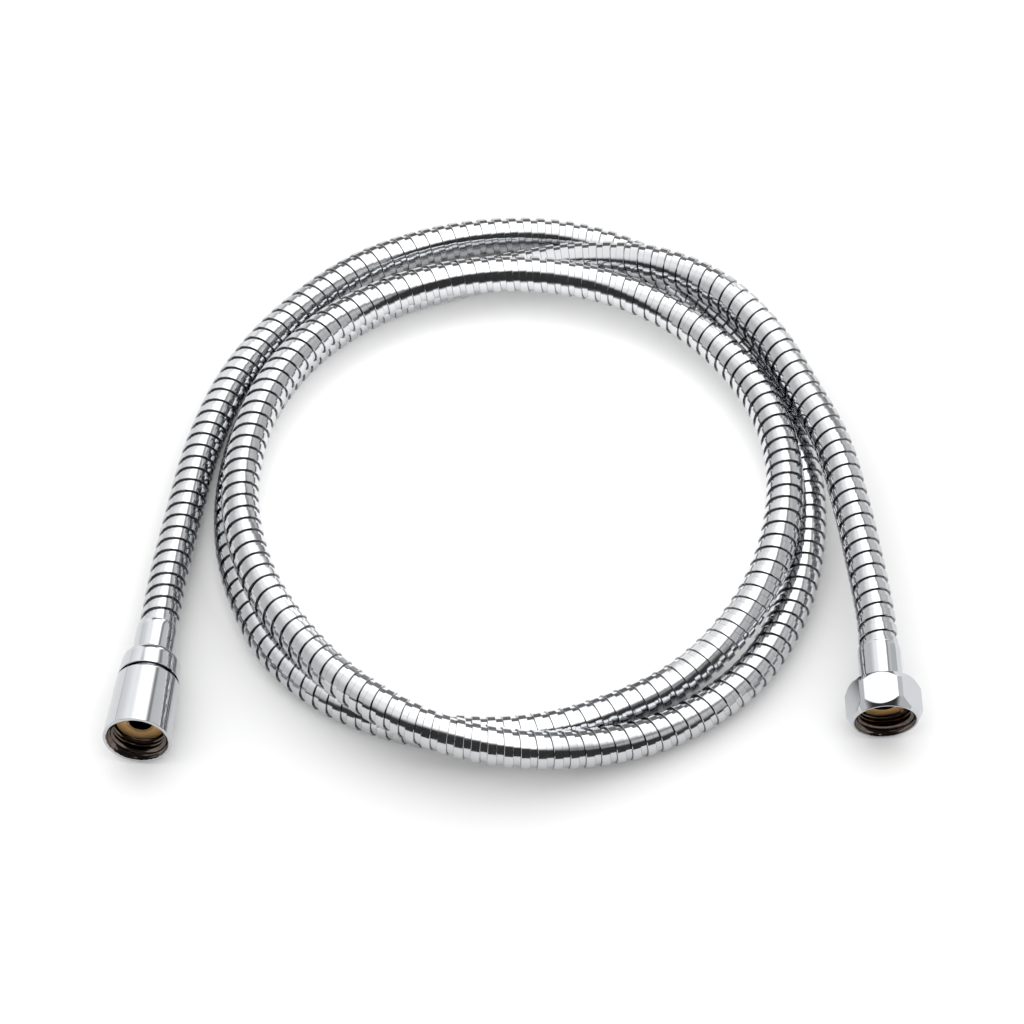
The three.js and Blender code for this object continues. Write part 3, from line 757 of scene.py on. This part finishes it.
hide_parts("hose_armour")
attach(armour, "hose")
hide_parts("hose_liner")
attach(liner, "hose")

# The clamp rings and the swivel ring stay as the solids that they are.
for name in ("cone_end_swivel_ring", "cone_end_bush", "hex_end_bush"):
    node = frame["nodes"][name]
    node.data.materials.clear()
    node.data.materials.append(ACETAL)

# Floor and light

FLOOR_HALF = 3.0
# Painted light: inside the ring the paper is burnt out to white over the hose's shade. Out to the first
# radius the paper is whiter and glows a little, and past the second it is plain.
PAINTED_LIGHT_RADIUS, PLAIN = 0.085, 0.125
GLOW = 0.3
floor_mesh = bpy.data.meshes.new("floor")
floor_mesh.from_pydata([(x * FLOOR_HALF, y * FLOOR_HALF, -0.1 * MM)
                        for x, y in ((-1, -1), (1, -1), (1, 1), (-1, 1))], [], [(0, 1, 2, 3)])
floor = linked("floor", floor_mesh)
paper, paper_tree = new_material("white_paper")
from_centre = add(paper_tree, "ShaderNodeVectorMath", {
    0: add(paper_tree, "ShaderNodeTexCoord").outputs["Object"]}, operation="LENGTH").outputs["Value"]
outside = add(paper_tree, "ShaderNodeMapRange", {0: from_centre, 1: PAINTED_LIGHT_RADIUS, 2: PLAIN}).outputs[0]
# Painted light: whiter paper inside the ring, and a glow that is no lamp.
painted_light_tone = add(paper_tree, "ShaderNodeMix", {
    "Factor": outside, "A": linear("#FCFCFC"), "B": linear("#E4E4E4")}, data_type="RGBA")
sheet = add(paper_tree, "ShaderNodeBsdfDiffuse", {"Color": painted_light_tone.outputs["Result"]})
glow = add(paper_tree, "ShaderNodeMapRange", {
    0: from_centre, 1: PAINTED_LIGHT_RADIUS, 2: PLAIN, 3: GLOW, 4: 0.0}).outputs[0]
glow = add(paper_tree, "ShaderNodeEmission", {"Color": (1, 1, 1, 1), "Strength": glow})
sheet = add(paper_tree, "ShaderNodeAddShader", {0: sheet.outputs[0], 1: glow.outputs[0]})
add(paper_tree, "ShaderNodeOutputMaterial", {"Surface": sheet.outputs[0]})
floor_mesh.materials.append(paper)

# The studio as seen from the hose. From left to right, by x over the larger of y and z: a pale wall that
# brightens upwards, the long softbox overhead, a dark gap and a grey wall.
SIDE_LIGHT = [(-1.38, 0.80), (-1.20, 0.86), (-0.97, 1.00), (-0.81, 1.14), (-0.67, 1.34), (-0.57, 1.43),
              (-0.42, 1.42), (-0.30, 1.60), (-0.24, 1.88), (-0.10, 1.95), (0.05, 3.1), (0.44, 3.1),
              (0.56, 1.50), (0.68, 0.36), (0.76, 0.33), (0.86, 0.80), (1.30, 0.88), (1.38, 0.70)]
SIDE_REACH = 1.4
BRIGHTEST = 3.1
world = bpy.data.worlds.new("studio")
world.use_nodes = True
sky = world.node_tree
sky.nodes.clear()
toward = add(sky, "ShaderNodeSeparateXYZ", {
    0: add(sky, "ShaderNodeTexCoord").outputs["Generated"]}).outputs
depth = add(sky, "ShaderNodeMath", {0: toward["Z"], 1: toward["Y"]}, operation="MAXIMUM").outputs[0]
depth = add(sky, "ShaderNodeMath", {0: depth, 1: 0.02}, operation="MAXIMUM").outputs[0]
height = add(sky, "ShaderNodeMath", {0: toward["Z"], 1: 0.02}, operation="MAXIMUM").outputs[0]
behind = add(sky, "ShaderNodeMath", {0: toward["Y"], 1: 0.02}, operation="MAXIMUM").outputs[0]
across = add(sky, "ShaderNodeMath", {0: toward["X"], 1: depth}, operation="DIVIDE").outputs[0]
ahead = add(sky, "ShaderNodeMath", {0: toward["Y"], 1: height}, operation="DIVIDE").outputs[0]
aside = add(sky, "ShaderNodeMath", {0: toward["X"], 1: behind}, operation="DIVIDE").outputs[0]
aside = add(sky, "ShaderNodeMath", {0: aside}, operation="ABSOLUTE").outputs[0]
place = add(sky, "ShaderNodeMapRange", {0: across, 1: -SIDE_REACH, 2: SIDE_REACH}).outputs[0]
sides = add(sky, "ShaderNodeValToRGB", {0: place})
stops = sides.color_ramp.elements
for x, level in SIDE_LIGHT:
    stops.new((x + SIDE_REACH) / (2 * SIDE_REACH)).color = [level / BRIGHTEST] * 3 + [1]
stops.remove(stops[0])
stops.remove(stops[-1])
# The dark wall straight behind, the dark room in front, and the darker foot of every wall.
wall_top = add(sky, "ShaderNodeMapRange", {0: toward["Z"], 1: 0.50, 2: 0.60, 3: 0.93, 4: 0.0},
               interpolation_type="SMOOTHSTEP").outputs[0]
wall_width = add(sky, "ShaderNodeMapRange", {0: aside, 1: 0.25, 2: 0.50, 3: 1.0, 4: 0.0},
                 interpolation_type="SMOOTHSTEP").outputs[0]
wall = add(sky, "ShaderNodeMath", {0: wall_top, 1: wall_width}, operation="MULTIPLY").outputs[0]
past_wall = add(sky, "ShaderNodeMath", {0: 1.0, 1: wall}, operation="SUBTRACT").outputs[0]
ahead = add(sky, "ShaderNodeMath", {
    0: add(sky, "ShaderNodeMath", {0: across}, operation="ABSOLUTE").outputs[0], 1: 0.5, 2: ahead},
    operation="MULTIPLY_ADD").outputs[0]
room = add(sky, "ShaderNodeMapRange", {0: ahead, 1: -0.50, 2: -0.15, 3: 0.0, 4: 1.0},
           interpolation_type="SMOOTHSTEP").outputs[0]
foot = add(sky, "ShaderNodeMapRange", {0: toward["Z"], 1: 0.0, 2: 0.06, 3: 0.7, 4: 1.0}).outputs[0]
lit = sides.outputs["Color"]
for part in (past_wall, room, foot, BRIGHTEST):
    lit = add(sky, "ShaderNodeMath", {0: lit, 1: part}, operation="MULTIPLY").outputs[0]
lit = add(sky, "ShaderNodeMath", {0: lit, 1: 0.055}).outputs[0]
# The paper itself is lit softly from all round, more from behind.
rays = add(sky, "ShaderNodeLightPath").outputs
even = add(sky, "ShaderNodeMapRange", {0: toward["Y"], 1: -1.0, 2: 1.0, 3: 0.95, 4: 2.15}).outputs[0]
light = add(sky, "ShaderNodeMix", {
    "Factor": rays["Is Diffuse Ray"], "A": lit, "B": even}).outputs["Result"]
studio = add(sky, "ShaderNodeBackground", {"Color": (1, 1, 1, 1), "Strength": light})
backdrop = add(sky, "ShaderNodeBackground", {"Color": (1, 1, 1, 1), "Strength": 1.0})
shown = add(sky, "ShaderNodeMixShader", {
    0: rays["Is Camera Ray"], 1: studio.outputs[0], 2: backdrop.outputs[0]})
add(sky, "ShaderNodeOutputWorld", {"Surface": shown.outputs[0]})
# Without light sampling of its own the sky can tell the paper's rays from the metal's.
world.cycles.sampling_method = "NONE"
bpy.context.scene.world = world
bpy.context.scene.view_settings.view_transform = "Standard"
